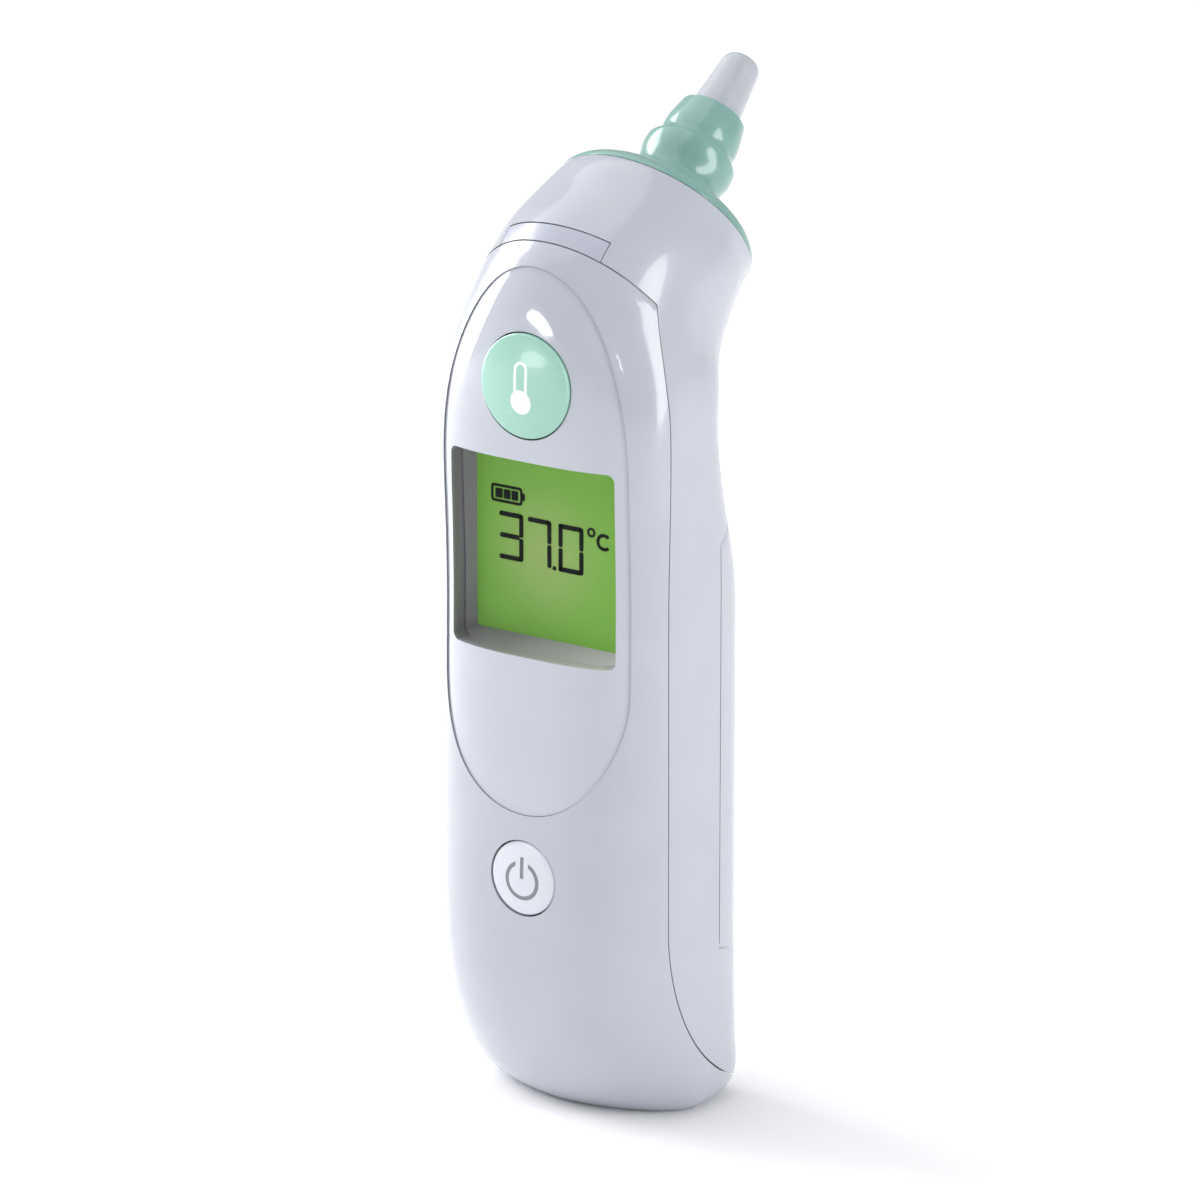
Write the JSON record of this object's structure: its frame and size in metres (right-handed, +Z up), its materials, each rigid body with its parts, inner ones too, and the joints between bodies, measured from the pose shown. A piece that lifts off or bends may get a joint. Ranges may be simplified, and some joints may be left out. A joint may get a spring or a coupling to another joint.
{
  "type": "infrared ear thermometer",
  "caption": "Handheld infrared ear thermometer with a tilted probe, green LCD, start and power buttons, filter ejector and two AA cells under a lift-off door.",
  "frame": {"origin": "under the middle of the thermometer's bounding box, on the plane of its sole", "axes": "+Z up along the handle, -Y the display side, +X to the right seen from the display"},
  "size_m": [0.039, 0.0552, 0.1465],
  "materials": {
    "white_gloss": "gloss",
    "panel_gloss": "high gloss",
    "clear_lens": "clear",
    "hood_grey": "satin",
    "lcd": "gloss",
    "light_guide": "frosted",
    "rubber_grey": "matt",
    "circuit_board": "satin",
    "steel": "satin",
    "chip_black": "matt",
    "ceramic": "matt",
    "flex_amber": "satin",
    "mint_gloss": "gloss",
    "icon_white": "satin",
    "icon_grey": "satin",
    "pad_grey": "satin",
    "inner_white": "satin",
    "tip_grey": "satin",
    "copper": "satin",
    "window_dark": "polished",
    "cell_jacket": "gloss",
    "nickel": "polished"
  },
  "bodies": {
    "body": {"front_cover": "white_gloss", "rear_housing": "white_gloss", "display_panel": "panel_gloss", "display_lens": "clear_lens", "display_hood": "hood_grey", "lcd_glass": "lcd", "backlight_guide": "light_guide", "elastomer_connector": "rubber_grey", "main_board": "circuit_board", "board_screws": "steel", "case_screws": "steel", "processor_chip": "chip_black", "memory_chip": "chip_black", "small_components": "ceramic", "buzzer": "chip_black", "sensor_connector": "inner_white", "sensor_flex": "flex_amber", "start_switch": "chip_black", "power_switch": "chip_black", "probe_base": "inner_white", "probe_collar": "mint_gloss", "probe_tip": "tip_grey", "tip_seal": "rubber_grey", "sensor_holder": "inner_white", "tip_heater": "copper", "infrared_sensor": "steel", "sensor_window": "window_dark", "battery_tray": "inner_white", "battery_left": "cell_jacket", "battery_right": "cell_jacket", "contact_springs": "nickel", "contact_plates": "nickel", "contact_link": "nickel"},
    "start_button_body": {"start_button": "mint_gloss", "start_icon": "icon_white"},
    "start_plunger_body": {"start_plunger": "inner_white"},
    "power_button_body": {"power_button": "white_gloss", "power_icon": "icon_grey"},
    "power_plunger_body": {"power_plunger": "inner_white"},
    "ejector_button_body": {"ejector_button": "pad_grey"},
    "ejector_ring_body": {"ejector_ring": "mint_gloss", "ejector_carrier": "inner_white"},
    "battery_door_body": {"battery_door": "white_gloss"}
  },
  "joints": [
    {"name": "start_press", "type": "slide", "parent": "body", "child": "start_button_body", "axis": [0, 1, 0], "range_m": [0, 0.0006], "stiffness_N_per_m": 1500, "springref_m": -0.0003},
    {"name": "start_plunger_press", "type": "slide", "parent": "body", "child": "start_plunger_body", "axis": [0, 1, 0], "range_m": [0, 0.0007]},
    {"name": "power_press", "type": "slide", "parent": "body", "child": "power_button_body", "axis": [0, 1, 0], "range_m": [0, 0.0005], "stiffness_N_per_m": 1500, "springref_m": -0.0003},
    {"name": "power_plunger_press", "type": "slide", "parent": "body", "child": "power_plunger_body", "axis": [0, 1, 0], "range_m": [0, 0.0006]},
    {"name": "ejector_press", "type": "slide", "parent": "body", "child": "ejector_button_body", "axis": [0, 1, 0], "range_m": [0, 0.00225], "stiffness_N_per_m": 1200, "springref_m": -0.0005},
    {"name": "ejector_slide", "type": "slide", "parent": "body", "child": "ejector_ring_body", "axis": [0, 0.7524, 0.6587], "range_m": [0, 0.0031]},
    {"name": "battery_door_lift", "type": "slide", "parent": "body", "child": "battery_door_body", "axis": [0, 1, 0], "range_m": [0, 0.012]}
  ],
  "couplings": [
    {"joint": "start_plunger_press", "follows": "start_press", "ratio": 1},
    {"joint": "power_plunger_press", "follows": "power_press", "ratio": 1},
    {"joint": "ejector_slide", "follows": "ejector_press", "ratio": 1.3291}
  ]
}
